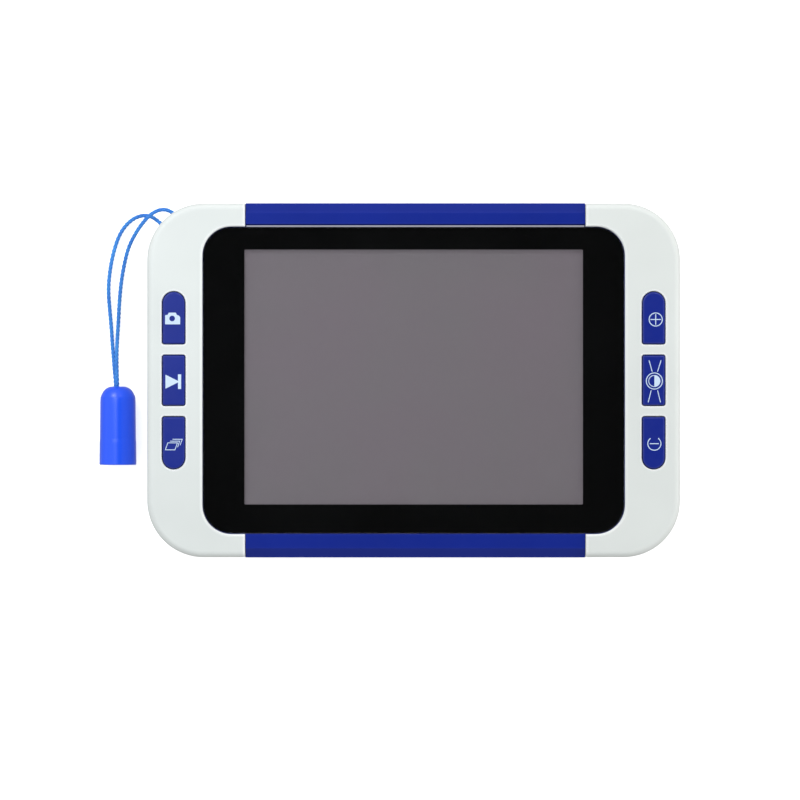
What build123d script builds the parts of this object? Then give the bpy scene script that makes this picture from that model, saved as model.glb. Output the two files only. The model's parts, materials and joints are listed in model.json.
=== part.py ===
"""A handheld video magnifier: a five-inch screen in a blue and white housing.

It lies on its back on a table, screen up.  The unit is the millimetre.
+X runs to the right of the screen, +Y to its top edge and +Z up out of the glass.
The origin is on the table, under the middle of the housing.
"""
from build123d import *
import os
from math import radians, tan

# ---- driving dimensions -------------------------------------------------------------
BODY_W = 160.0          # housing, left to right
COVER_D = 106.2         # white end covers, bottom edge to top edge
BAND_D = 106.4          # blue centre band, a hair prouder than the covers
CORNER_R = 17.0         # plan radius of the four corners
WALL = 2.2              # moulded wall
BACK_Z = 0.8            # back face; the rubber feet fill the rest
SPLIT_Z = 17.0          # parting line of front and rear mouldings
COVER_Z = 26.0          # front face of the white covers
BAND_Z = 25.2           # front face of the blue band
BACK_EDGE_R = 4.0       # rounding round the back
FRONT_EDGE_R = 1.8      # rounding round the front of the white covers
SEAM = 0.06             # half the gap where two mouldings meet
BAND_X = (-50.6, 51.6)  # the blue band's two sides; it sits a little right of the middle
BEVEL_Y, BEVEL_Z = 2.8, 2.4     # bevel along the band's outer edges

GLASS_W, GLASS_D, GLASS_R = 126.5, 92.0, 8.6
GLASS_T = 1.4
GLASS_GAP = 0.15        # round the glass
LIP_W = 0.75            # groove along the top of the glass, which holds the seal's lip
SHELF_Z = 23.9          # shelf that the glass seal lies on
SEAL_T = 0.2
GLASS_Z = SHELF_Z + SEAL_T

VIEW_W, VIEW_D = 101.6, 76.2    # lit area of a five-inch 4:3 panel
PANEL_W, PANEL_D, PANEL_T = 110.0, 84.0, 3.0
PANEL_Y = 1.0           # the lit area sits a little high in the window
PANEL_Z = 20.3

KEY_X = 72.0            # the two key columns, left and right
KEY_W = 6.6
KEY_ENDS = {"upper": (11.0, 26.5), "middle": (-7.45, 7.45), "lower": (-26.5, -11.0)}
KEY_TOP = 26.4
KEY_TRAVEL = 0.6
KEY_GAP = 0.25
KEY_CORNER = 0.5
FLANGE_Z, FLANGE_T = 23.1, 0.6
KEY_BOARD_Z, KEY_BOARD_T = 19.0, 1.0
SWITCH_H = 2.0
PLUNGER_R = 1.1

BOARD_Z, BOARD_T = 15.0, 1.6
BOARD_W, BOARD_D, BOARD_R = 127.0, 92.0, 9.0
POST_X, POST_Y = 60.0, 42.0     # posts that the main board hangs from
BOSS_X, BOSS_Y, BOSS_R = 68.6, 40.0, 3.5    # screw bosses near the corners
KEY_POST_Y = 31.5

JACK_X, JACK_Z, JACK_BORE_R, JACK_L = -30.0, 12.0, 1.8, 14.0
USB_X = -10.0
POWER_X, POWER_Z = 34.0, 12.0
POWER_W, POWER_H, POWER_TRAVEL = 9.0, 3.4, 0.5
CARD_X = 40.0

CAMERA_Y = 12.0
PANE_W, PANE_D, PANE_T = 40.0, 16.0, 1.0

BATTERY_HALF = 26.5
BATTERY_Y = (-50.0, -18.6)
BATTERY_Z = (3.4, 9.6)
DOOR_HALF = 31.0
DOOR_Y = -17.5
DOOR_TOP = 8.5
DOOR_GAP = 0.2

STAND_X = 30.0          # middle of each leg
LEG_W = 7.0
STAND_TOP_Y, STAND_END_Y = 36.0, -12.0
STAND_Z = (1.0, 3.0)
STAND_GAP = 0.4
POCKET_Z = 3.4
PIN_R, PIN_Z = 0.8, 2.4

FOOT_X, FOOT_Y, FOOT_R = 66.0, 28.0, 4.5

CORD_D = 1.3
PORT_R = 1.2
EYE_ANGLE = 131.7       # direction, round the corner, that the eyelet faces
EYE_Z = 6.0
EYE_HALF = 2.4          # from the eyelet's middle to each port
EYE_DEPTH = 3.7         # from the outside to the channel behind the bar
BELL_X, BELL_Z = -89.3, 5.6
BELL_TOP, BELL_END = -1.8, -25.5
BELL_R, BELL_FLARE_R = 5.35, 5.6
BELL_BORE_R, NECK_R = 3.9, 1.7
KNOT_Y, KNOT_R = -7.6, 2.5


# ---- small tools ---------------------------------------------------------------------
def block(x, y, z):
    """An upright box from three pairs of low and high sides."""
    middle = Pos((x[0] + x[1]) / 2, (y[0] + y[1]) / 2, (z[0] + z[1]) / 2)
    return middle * Box(x[1] - x[0], y[1] - y[0], z[1] - z[0])


def plate(width, depth, radius, z, at=(0, 0)):
    """A flat plate with rounded corners between two heights."""
    return Pos(at[0], at[1], z[0]) * extrude(RectangleRounded(width, depth, radius), z[1] - z[0])


def post(x, y, radius, z):
    """An upright round post or hole."""
    return Pos(x, y, (z[0] + z[1]) / 2) * Cylinder(radius, z[1] - z[0])


def rod_y(x, z, radius, y):
    """A round rod or hole along Y."""
    return Pos(x, (y[0] + y[1]) / 2, z) * Rot(90, 0, 0) * Cylinder(radius, y[1] - y[0])


def rod_x(y, z, radius, x):
    """A round rod or hole along X."""
    return Pos((x[0] + x[1]) / 2, y, z) * Rot(0, 90, 0) * Cylinder(radius, x[1] - x[0])


def slot_y(x, z, width, height, y):
    """A stadium-shaped bar or hole along Y."""
    sketch = Plane.XZ * Pos(x, z) * RectangleRounded(width, height, height / 2 - 0.01)
    return Pos(0, y[1], 0) * extrude(sketch, y[1] - y[0])


def joined(solids):
    """Fuse a list of touching solids into one."""
    whole = solids[0]
    for solid in solids[1:]:
        whole += solid
    return whole


def edges_at(shape, height, keep):
    """Edges lying at one height whose middle passes a test."""
    level = shape.edges().filter_by_position(Axis.Z, height - 0.01, height + 0.01)
    return [edge for edge in level if keep(edge @ 0.5)]


# ---- housing -------------------------------------------------------------------------
def cover_form():
    """Outer form that the white end covers are cut from."""
    form = plate(BODY_W, COVER_D, CORNER_R, (BACK_Z, COVER_Z))
    form = fillet(form.faces().sort_by(Axis.Z)[0].edges(), BACK_EDGE_R)
    return fillet(form.faces().sort_by(Axis.Z)[-1].edges(), FRONT_EDGE_R)


def cover_hollow():
    """Inside of the white end covers."""
    hollow = plate(BODY_W - 2 * WALL, COVER_D - 2 * WALL, CORNER_R - WALL, (BACK_Z + WALL, SHELF_Z))
    return fillet(hollow.faces().sort_by(Axis.Z)[0].edges(), BACK_EDGE_R - WALL)


def band_sides():
    """Left and right sides of the blue band, a seam's width inside the covers."""
    return BAND_X[0] + 2 * SEAM, BAND_X[1] - 2 * SEAM


def band_form():
    """Outer form of the blue band, bevelled in front and rounded behind."""
    half = BAND_D / 2
    profile = Polygon(
        (-half, BACK_Z),
        (half, BACK_Z),
        (half, BAND_Z - BEVEL_Z),
        (half - BEVEL_Y, BAND_Z),
        (BEVEL_Y - half, BAND_Z),
        (-half, BAND_Z - BEVEL_Z),
        align=None,
    )
    left, right = band_sides()
    form = extrude(Plane.YZ.offset(left) * profile, right - left)
    back = form.edges().filter_by(Axis.X).group_by(Axis.Z)[0]
    form = fillet(back, BACK_EDGE_R)
    return fillet(form.edges().filter_by(Axis.X).group_by(Axis.Z)[-1], 0.4)


def band_hollow(z):
    """Inside of the blue band between two heights."""
    reach = BAND_D / 2 - WALL
    return block(BAND_X, (-reach, reach), z)


def cover_side(form, side):
    """The part of a form on one side of the blue band."""
    x = (-90, BAND_X[0]) if side < 0 else (BAND_X[1], 90)
    return form & block(x, (-60, 60), (0, 30))


def above_split(form):
    """The front half of a form."""
    return form & block((-90, 90), (-60, 60), (SPLIT_Z + SEAM, 30))


def below_split(form):
    """The rear half of a form."""
    return form & block((-90, 90), (-60, 60), (0, SPLIT_Z - SEAM))


def front_frame():
    """Blue front moulding: two visible strips, and the hidden ring the glass rests on."""
    plate_z = BAND_Z - WALL
    ring_z = SHELF_Z - 1.7
    reach = BAND_D / 2 - WALL
    frame = above_split(band_form()) - band_hollow((0, plate_z))
    frame += plate(128.8, 94.4, 9.6, (ring_z, SHELF_Z))
    for y in ((46.0, reach + 0.5), (-reach - 0.5, -46.0)):
        frame += block(band_sides(), y, (ring_z, SHELF_Z))
    window_y = (-GLASS_D / 2 - GLASS_GAP, GLASS_D / 2 + GLASS_GAP + LIP_W)
    frame -= block((-60, 60), window_y, (SHELF_Z, 30))
    frame -= plate(PANEL_W + 2.6, PANEL_D + 3.0, 2.0, (0, 30))
    for x in (-POST_X, POST_X):
        for y in (-POST_Y, POST_Y):
            frame += post(x, y, 2.5, (BOARD_Z + BOARD_T, ring_z + 0.2))
            frame -= post(x, y, 0.85, (BOARD_Z, SHELF_Z - 1.0))
    for x in (-20, 20):
        for y in ((reach - 1.1, reach + 0.3), (-reach - 0.3, 1.1 - reach)):
            tab = block((x - 4, x + 4), y, (SPLIT_Z + SEAM, SPLIT_Z + 3))
            tongue_y = (max(y[0], 0.1 - reach), min(y[1], reach - 0.1))
            frame += tab + block((x - 4, x + 4), tongue_y, (SPLIT_Z - 2.4, SPLIT_Z + 3))
    return frame


def key_outline(place, grow):
    """Plan of a key, grown all round: square in the middle, round at the column's ends."""
    low, high = KEY_ENDS[place]
    length = high - low + 2 * grow
    width = KEY_W + 2 * grow
    outline = Pos(0, (low + high) / 2) * Rectangle(width, length)
    corners = outline.vertices().sort_by(Axis.Y)
    if place == "upper":
        outline = fillet(corners[2:], width / 2 - 0.01)
        return fillet(outline.vertices().sort_by(Axis.Y)[:2], KEY_CORNER + grow)
    if place == "lower":
        outline = fillet(corners[:2], width / 2 - 0.01)
        return fillet(outline.vertices().sort_by(Axis.Y)[-2:], KEY_CORNER + grow)
    return fillet(corners, KEY_CORNER + grow)


def front_cover(side):
    """White front end cover, C-shaped round the glass, with three key slots."""
    cover = cover_side(above_split(cover_form()) - cover_hollow(), side)
    cover -= plate(GLASS_W + 2 * GLASS_GAP, GLASS_D + 2 * GLASS_GAP, GLASS_R + GLASS_GAP, (20, 30))

    def rim(point):
        beside_glass = abs(point.X) < GLASS_W / 2 + 1 and abs(point.Y) < GLASS_D / 2 + 1
        return beside_glass or min(abs(point.X - x) for x in BAND_X) < 0.01

    cover = fillet(edges_at(cover, COVER_Z, rim), 0.6)
    for place in KEY_ENDS:
        cover -= Pos(side * KEY_X, 0, 20) * extrude(key_outline(place, KEY_GAP), 10)
    slot_edges = edges_at(cover, COVER_Z, lambda p: abs(abs(p.X) - KEY_X) < 4.5 and abs(p.Y) < 28)
    cover = chamfer(slot_edges, 0.2)
    for y in (-KEY_POST_Y, KEY_POST_Y):
        cover += post(side * KEY_X, y, 2.2, (KEY_BOARD_Z + KEY_BOARD_T, SHELF_Z + 0.5))
        cover -= post(side * KEY_X, y, 0.85, (KEY_BOARD_Z, 23.0))
    for y in (-BOSS_Y, BOSS_Y):
        cover += post(side * BOSS_X, y, BOSS_R, (SPLIT_Z + SEAM, SHELF_Z + 0.5))
        cover -= post(side * BOSS_X, y, 1.05, (0, 22.6))
    return cover


def eyelet_point(out, along, z=EYE_Z):
    """A place near the strap eyelet: distance from the corner's centre, and along its bar."""
    facing = Vector(1, 0, 0).rotate(Axis.Z, EYE_ANGLE)
    sideways = Vector(0, 1, 0).rotate(Axis.Z, EYE_ANGLE)
    corner = Vector(CORNER_R - BODY_W / 2, COVER_D / 2 - CORNER_R, 0)
    return corner + facing * out + sideways * along + Vector(0, 0, z)


def drill(start, end, radius):
    """A round hole from one place to another."""
    return extrude(Plane(origin=start, z_dir=end - start) * Circle(radius), (end - start).length)


def add_eyelet(cover):
    """Thicken the top left corner and cut two ports with a bar between them."""
    floor, roof = BACK_Z + WALL - 0.5, EYE_Z + PORT_R + 1.6
    start = eyelet_point(CORNER_R - EYE_DEPTH - 2.6, 0, floor)
    pad = Plane(origin=start, x_dir=eyelet_point(20, 0, floor) - start) * Rectangle(
        9.0, 10.4, align=(Align.MIN, Align.CENTER))
    cover += extrude(pad, roof - floor) & cover_form()
    channel = CORNER_R - EYE_DEPTH
    cover -= drill(eyelet_point(channel, -EYE_HALF), eyelet_point(channel, EYE_HALF), PORT_R)
    for along in (-EYE_HALF, EYE_HALF):
        cover -= drill(eyelet_point(channel, along), eyelet_point(CORNER_R + 3, along), PORT_R)
        cover -= Pos(eyelet_point(channel, along)) * Sphere(PORT_R)
    return cover


def rear_cover(side):
    """White rear end cover with two screw bosses and two foot recesses."""
    cover = cover_side(below_split(cover_form()) - cover_hollow(), side)
    for y in (-BOSS_Y, BOSS_Y):
        cover += post(side * BOSS_X, y, BOSS_R, (BACK_Z + 1, SPLIT_Z - SEAM))
        cover -= post(side * BOSS_X, y, 1.3, (0, 20))
        cover -= post(side * BOSS_X, y, 2.6, (0, 5.0))
    for y in (-FOOT_Y, FOOT_Y):
        cover -= post(side * FOOT_X, y, FOOT_R + 0.05, (0, BACK_Z + 0.6))
    return add_eyelet(cover) if side < 0 else cover


def stand_plan(grow):
    """Plan of the U-shaped stand: two legs and a cross bar, grown all round."""
    reach = STAND_X + LEG_W / 2 + grow
    low, high = STAND_END_Y - grow, STAND_TOP_Y + grow
    plan = Pos(0, (low + high) / 2) * Rectangle(2 * reach, high - low)
    plan = fillet(plan.vertices().sort_by(Axis.Y)[:2], 6 + grow)
    inside = STAND_X - LEG_W / 2 - grow
    inner_low = STAND_END_Y + LEG_W + grow
    opening = Pos(0, (inner_low + high + 1) / 2) * Rectangle(2 * inside, high + 1 - inner_low)
    opening = fillet(opening.vertices().sort_by(Axis.Y)[:2], 2.5)
    return plan - opening


def door_form(gap):
    """Space of the battery door: it runs out through the bottom edge."""
    return block((-DOOR_HALF - gap, DOOR_HALF + gap), (-60, DOOR_Y + gap), (0, DOOR_TOP + gap))


def band_shell():
    """Rear half of the blue band with its floor and two long walls."""
    return below_split(band_form()) - band_hollow((BACK_Z + WALL, 30))


def rear_housing():
    """Blue rear moulding: floor, walls, battery bay, stand pocket and window seat."""
    floor_z = BACK_Z + WALL
    reach = BAND_D / 2 - WALL
    left, right = band_sides()
    housing = band_shell() - door_form(DOOR_GAP)
    for x in ((-55.5, -47.0), (47.0, 55.5)):
        housing += block(x, (-44, 44), (floor_z + 0.15, floor_z + 1.35))
        inner = (max(x[0], left), min(x[1], right))
        housing += block(inner, (-44, 44), (floor_z - 0.5, floor_z + 0.5))
    pad_y = (DOOR_Y + 1.9, STAND_TOP_Y + 5)
    housing += block((-38, 38), pad_y, (floor_z - 0.5, 5.0))

    bay_roof = BATTERY_Z[1] + 0.5
    bay = block((-30.2, 30.2), (-reach - 0.2, -15.6), (floor_z + 0.15, bay_roof + 1.2))
    housing += bay - door_form(DOOR_GAP)
    housing -= block((-29, 29), (-reach, -17.0), (floor_z - 1, bay_roof))
    for x in ((-DOOR_HALF - 1.5, 1 - DOOR_HALF), (DOOR_HALF - 1, DOOR_HALF + 1.5)):
        housing -= block(x, (-50.4, -19.6), (1.55, 2.45))

    housing -= extrude(stand_plan(STAND_GAP), POCKET_Z)
    for x in (-STAND_X, STAND_X):
        knuckle = (x - LEG_W / 2 - STAND_GAP, x + LEG_W / 2 + STAND_GAP)
        housing -= block(knuckle, (STAND_TOP_Y - 2, STAND_TOP_Y + 1.9), (0, POCKET_Z + 0.6))
        housing -= rod_x(STAND_TOP_Y, PIN_Z, PIN_R, (x - LEG_W / 2 - 2, x + LEG_W / 2 + 2))
    housing -= Pos(0, STAND_END_Y + 10.2, -2.6) * Sphere(5.2)

    housing -= plate(PANE_W + 0.3, PANE_D + 0.3, PANE_D / 2, (0, BACK_Z + 0.25 + PANE_T), (0, CAMERA_Y))
    housing -= plate(PANE_W - 4, PANE_D - 4, PANE_D / 2 - 2.1, (0, 6), (0, CAMERA_Y))

    housing -= rod_y(JACK_X, JACK_Z, 3.3, (45, 60))
    housing -= slot_y(USB_X, BOARD_Z - 1.35, 8.6, 3.4, (45, 60))
    housing -= slot_y(POWER_X, POWER_Z, POWER_W + 0.3, POWER_H + 0.3, (45, 60))
    housing -= block((CARD_X - 6.2, CARD_X + 6.2), (-60, -45), (13.2, 14.8))
    for x, y in ((0, 0), (-2.6, 0), (2.6, 0), (0, -2.6), (0, 2.6)):
        housing -= post(43 + x, 20 + y, 0.6, (0, 4))
    return housing


def battery_door():
    """Blue door over the battery, with side tongues and thumb ridges."""
    door = band_shell() & door_form(0)
    for x in ((-DOOR_HALF - 1.2, 1 - DOOR_HALF), (DOOR_HALF - 1, DOOR_HALF + 1.2)):
        door += block(x, (-44, -20), (1.7, 2.3))
    for step in range(5):
        ridge_y = -45.0 + 2.2 * step
        door -= plate(22.0, 1.0, 0.45, (0, BACK_Z + 0.35), (0, ridge_y))
    return door


def rear_stand():
    """U-shaped stand that folds into the back, with round knuckles at its top."""
    stand = Pos(0, 0, STAND_Z[0]) * extrude(stand_plan(0), STAND_Z[1] - STAND_Z[0])
    for x in (-STAND_X, STAND_X):
        leg = (x - LEG_W / 2, x + LEG_W / 2)
        stand -= block(leg, (STAND_TOP_Y - 1.3, STAND_TOP_Y + 2), (0, 5))
        stand += rod_x(STAND_TOP_Y, PIN_Z, 1.4, leg)
        stand += block(leg, (STAND_TOP_Y - 3, STAND_TOP_Y - 0.2), STAND_Z)
        stand -= rod_x(STAND_TOP_Y, PIN_Z, PIN_R + 0.05, (leg[0] - 1, leg[1] + 1))
    return stand


def stand_pins():
    """Two steel pins, fast in the housing, that the stand turns on."""
    reach = LEG_W / 2 + 2
    return [rod_x(STAND_TOP_Y, PIN_Z, PIN_R, (x - reach, x + reach)) for x in (-STAND_X, STAND_X)]


def rubber_feet():
    """Four round feet let into the rear covers."""
    return [fillet(post(x, y, FOOT_R, (0, BACK_Z + 0.6)).edges().sort_by(Axis.Z)[0], 0.3)
            for x in (-FOOT_X, FOOT_X) for y in (-FOOT_Y, FOOT_Y)]


def screw(x, y, z_head, head_h, head_r, shank_r, z_tip):
    """An upright screw driven from behind, with a cross recess in its head."""
    body = post(x, y, head_r, (z_head, z_head + head_h))
    body = fillet(body.edges().sort_by(Axis.Z)[0], head_h * 0.3)
    body += post(x, y, shank_r, (z_head + head_h - 0.1, z_tip))
    arm, depth = head_r * 0.62, z_head + head_h * 0.5
    body -= block((x - arm, x + arm), (y - 0.2, y + 0.2), (0, depth))
    return body - block((x - 0.2, x + 0.2), (y - arm, y + arm), (0, depth))


def at_corners(x, y):
    """The four places at plus and minus x and y."""
    return [(sx * x, sy * y) for sx in (-1, 1) for sy in (-1, 1)]


# ---- screen --------------------------------------------------------------------------
def screen_glass():
    """Cover glass with a ground edge."""
    glass = plate(GLASS_W, GLASS_D, GLASS_R, (GLASS_Z, GLASS_Z + GLASS_T))
    return chamfer(glass.faces().sort_by(Axis.Z)[-1].edges(), 0.25)


def glass_seal():
    """Thin seal under the glass, with a lip standing up along its top edge."""
    seal = plate(125.0, 90.6, GLASS_R, (SHELF_Z, GLASS_Z)) - plate(113.0, 87.4, 2.0, (0, 30))
    inner_y = GLASS_D / 2 + 0.05
    lip_x = (BAND_X[0] + 0.4, BAND_X[1] - 0.4)
    lip_y = (inner_y, inner_y + 0.45)
    seal += block(lip_x, (inner_y - 2, lip_y[1]), (SHELF_Z, GLASS_Z))
    return seal + block(lip_x, lip_y, (SHELF_Z, BAND_Z + 0.15))


def lcd_panel():
    """Display panel: a tray with the lit area let in a little."""
    panel = plate(PANEL_W, PANEL_D, 0.8, (PANEL_Z, PANEL_Z + PANEL_T))
    view = block((-VIEW_W / 2, VIEW_W / 2), (PANEL_Y - VIEW_D / 2, PANEL_Y + VIEW_D / 2), (23.2, 24))
    return panel - view


def lcd_gasket():
    """Foam frame between the panel and the glass."""
    opening = block((-VIEW_W / 2 - 0.6, VIEW_W / 2 + 0.6),
                    (PANEL_Y - VIEW_D / 2 - 0.6, PANEL_Y + VIEW_D / 2 + 0.6), (0, 30))
    return plate(PANEL_W - 1, PANEL_D - 1, 0.8, (PANEL_Z + PANEL_T, GLASS_Z)) - opening


def lcd_bracket():
    """Pressed metal tray that holds the panel to the frame's posts."""
    tray = plate(PANEL_W + 1.8, PANEL_D + 1.8, 1.4, (19.4, 22.0))
    tray -= plate(PANEL_W + 0.6, PANEL_D + 0.6, 0.9, (20.1, 30))
    tray -= block((-16, 16), (-50, -40), (20.1, 30))
    for x, y in at_corners(POST_X, POST_Y):
        inward = (min(x, x * 0.9), max(x, x * 0.9))
        tray += post(x, y, 3.4, (19.4, 20.1)) + block(inward, (y - 3, y + 1), (19.4, 20.1))
        tray -= post(x, y, 2.65, (19, 21))
    return tray


def lcd_flex():
    """Ribbon from the panel's bottom edge, round to the main board."""
    edge = -PANEL_D / 2
    return joined([
        block((-14, 14), (edge - 1.6, edge), (20.9, 21.1)),
        block((-14, 14), (edge - 1.6, edge - 1.4), (17.3, 21.1)),
        block((-14, 14), (edge - 1.6, edge + 5), (17.3, 17.5)),
    ])


# ---- electronics ---------------------------------------------------------------------
def main_board():
    """Circuit board with four corner holes."""
    board = plate(BOARD_W, BOARD_D, BOARD_R, (BOARD_Z, BOARD_Z + BOARD_T))
    for x, y in at_corners(POST_X, POST_Y):
        board -= post(x, y, 1.1, (0, 30))
    return board


def board_chips():
    """Chips on both faces of the main board."""
    top = BOARD_Z + BOARD_T
    above = [(-30, 10, 14, 14, 1.2), (12, 8, 10, 12, 1.1), (34, -12, 8, 6, 1.4), (-10, -20, 6, 5, 1.0)]
    below = [(46, -10, 9, 9, 1.3), (-50, 14, 7, 5, 1.1), (50, 6, 5, 5, 1.0)]
    chips = [block((x - w / 2, x + w / 2), (y - d / 2, y + d / 2), (top, top + h))
             for x, y, w, d, h in above]
    chips += [block((x - w / 2, x + w / 2), (y - d / 2, y + d / 2), (BOARD_Z - h, BOARD_Z))
              for x, y, w, d, h in below]
    return chips


def board_sockets():
    """Ribbon sockets on the main board: screen, two key boards, lamp board."""
    top = BOARD_Z + BOARD_T
    sockets = [block((-15, 15), (-36.8, -32.6), (top, top + 1.6))]
    for x in ((-61.2, -57.0), (57.0, 61.2)):
        sockets.append(block(x, (-4.5, 4.5), (top, top + 1.4)))
    sockets.append(block((22, 26), (9, 15), (BOARD_Z - 1.2, BOARD_Z)))
    return sockets


def processor_shield():
    """Tinned can over the processor, below the board."""
    can = plate(30, 26, 1.5, (12.6, BOARD_Z), (-38, -22))
    return can - plate(29, 25, 1.0, (12.9, BOARD_Z), (-38, -22))


def buzzer():
    """Round buzzer below the board, over the five sound holes."""
    body = fillet(post(43, 20, 6.0, (10.6, BOARD_Z)).edges().sort_by(Axis.Z)[0], 0.5)
    return body - post(43, 20, 1.2, (0, 11.6))


def av_jack():
    """Round 3.5 mm socket with its nose in the top wall."""
    body = block((JACK_X - 3.4, JACK_X + 3.4), (37.5, 50.8), (JACK_Z - 3.0, BOARD_Z))
    body += rod_y(JACK_X, JACK_Z, 3.1, (50, BAND_D / 2 - 0.3))
    mouth = BAND_D / 2 - 0.3
    return body - rod_y(JACK_X, JACK_Z, JACK_BORE_R, (mouth - JACK_L, mouth))


def usb_socket():
    """Small flat power and data socket, a metal shell round a tongue."""
    mid = BOARD_Z - 1.35
    shell = slot_y(USB_X, mid, 7.5, 2.7, (46.8, 52.6)) - slot_y(USB_X, mid, 6.9, 2.1, (47.6, 53))
    return shell + block((USB_X - 2, USB_X + 2), (47.0, 51.6), (mid - 0.25, mid + 0.25))


def card_socket():
    """Memory card holder at the bottom edge."""
    holder = block((CARD_X - 7, CARD_X + 7), (-50.8, -37), (12.9, BOARD_Z))
    return holder - block((CARD_X - 5.6, CARD_X + 5.6), (-52, -38), (13.5, 14.5))


def power_switch():
    """Side-acting switch behind the power button."""
    body = block((POWER_X - 3, POWER_X + 3), (43.5, 47.6), (POWER_Z - 1.8, BOARD_Z))
    return body - rod_y(POWER_X, POWER_Z, 1.3, (46.0, 48))


def power_button():
    """Oval button in the top wall with a flange inside and a short plunger."""
    wall_in = BAND_D / 2 - WALL
    face = BAND_D / 2 - 0.2
    cap = slot_y(POWER_X, POWER_Z, POWER_W, POWER_H, (wall_in - 1.2, face))
    cap = fillet(cap.faces().sort_by(Axis.Y)[-1].edges(), 0.35)
    cap += slot_y(POWER_X, POWER_Z, POWER_W + 1.8, POWER_H + 1.4, (wall_in - 1.2, wall_in - 0.2))
    return cap + rod_y(POWER_X, POWER_Z, 1.1, (47.1, wall_in - 1.0))


def key(side, place):
    """A front key: cap, hidden flange and plunger, in one moulding."""
    cap = Pos(side * KEY_X, 0, FLANGE_Z) * extrude(key_outline(place, 0), KEY_TOP - FLANGE_Z)
    cap = fillet(cap.faces().sort_by(Axis.Z)[-1].edges(), 0.5)
    cap += Pos(side * KEY_X, 0, FLANGE_Z) * extrude(key_outline(place, KEY_GAP + 0.9), FLANGE_T)
    low, high = KEY_ENDS[place]
    return cap + post(side * KEY_X, (low + high) / 2, PLUNGER_R, (FLANGE_Z - 1.5, FLANGE_Z + 0.1))


def key_board(side):
    """Narrow board under a key column."""
    board = plate(9.4, 68.0, 1.0, (KEY_BOARD_Z, KEY_BOARD_Z + KEY_BOARD_T), (side * KEY_X, 0))
    for y in (-KEY_POST_Y, KEY_POST_Y):
        board -= post(side * KEY_X, y, 0.95, (0, 30))
    return board


def key_switches(side):
    """Three push switches, one under each key."""
    base = KEY_BOARD_Z + KEY_BOARD_T
    cans = []
    for low, high in KEY_ENDS.values():
        middle = (low + high) / 2
        can = plate(5.2, 5.2, 0.5, (base, base + SWITCH_H), (side * KEY_X, middle))
        cans.append(can - post(side * KEY_X, middle, 1.3, (base + 0.7, base + 3)))
    return cans


def key_ribbon(side):
    """Ribbon from a key board to the main board."""
    inner, outer = side * 59.0, side * 68.5
    step = side * 59.2
    top = KEY_BOARD_Z - 0.2
    return joined([
        block((min(inner, outer), max(inner, outer)), (-4, 4), (top, KEY_BOARD_Z)),
        block((min(inner, step), max(inner, step)), (-4, 4), (BOARD_Z + BOARD_T + 1.4, KEY_BOARD_Z)),
    ])


def camera_board():
    """Sensor board under the main board."""
    return plate(20, 20, 1.5, (14.0, BOARD_Z), (0, CAMERA_Y))


def camera_holder():
    """Square holder that carries the lens over the sensor."""
    return plate(14, 14, 1.5, (6.4, 14.0), (0, CAMERA_Y)) - post(0, CAMERA_Y, 4.05, (0, 13.2))


def camera_lens():
    """Threaded lens barrel with a domed front element, facing down."""
    barrel = post(0, CAMERA_Y, 4.0, (2.6, 11.5))
    barrel = chamfer(barrel.edges().sort_by(Axis.Z)[0], 0.4)
    barrel -= Pos(0, CAMERA_Y, 2.6) * Cone(2.6, 1.6, 2.4)
    return barrel + (Pos(0, CAMERA_Y, 5.8) * Sphere(2.4) & post(0, CAMERA_Y, 2.4, (3.0, 5.0)))


def lamp_board():
    """Narrow board round the lens that carries the lamps."""
    board = plate(34, 11.4, 2.0, (5.0, 6.0), (0, CAMERA_Y))
    return board - post(0, CAMERA_Y, 4.6, (0, 30))


def lamps():
    """Four white lamps, two each side of the lens."""
    return [plate(3.0, 2.8, 0.3, (3.9, 5.0), (x, CAMERA_Y + y)) for x in (-12, 12) for y in (-2.6, 2.6)]


def lamp_ribbon():
    """Short ribbon from the lamp board up to the main board."""
    return joined([
        block((14, 24.2), (CAMERA_Y - 2, CAMERA_Y + 2), (6.0, 6.2)),
        block((24.0, 24.2), (CAMERA_Y - 2, CAMERA_Y + 2), (6.0, 13.8)),
    ])


def camera_window():
    """Clear pane over the lens and lamps, a little below the back face."""
    z = (BACK_Z + 0.2, BACK_Z + 0.2 + PANE_T)
    return plate(PANE_W, PANE_D, PANE_D / 2 - 0.01, z, (0, CAMERA_Y))


def battery_pack():
    """Flat rechargeable pack."""
    pack = block((-BATTERY_HALF, BATTERY_HALF), BATTERY_Y, BATTERY_Z)
    return fillet(pack.edges().filter_by(Axis.X), 1.0)


def battery_contacts():
    """Moulded block with three sprung blades against the pack's end."""
    back = -17.0
    blades = [block((x - 1, x + 1), (BATTERY_Y[1], back - 0.9), (4.4, 8.6)) for x in (-5, 0, 5)]
    return joined([block((-8, 8), (back - 1.0, back), (3.8, 9.4))] + blades)


# ---- lanyard -------------------------------------------------------------------------
def eyelet_run(side):
    """First points of a strand: behind the bar, then out of its port."""
    channel = CORNER_R - EYE_DEPTH
    return [
        eyelet_point(channel, 0),
        eyelet_point(channel, side * 1.25),
        eyelet_point(channel + 1.15, side * EYE_HALF),
    ]


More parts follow.
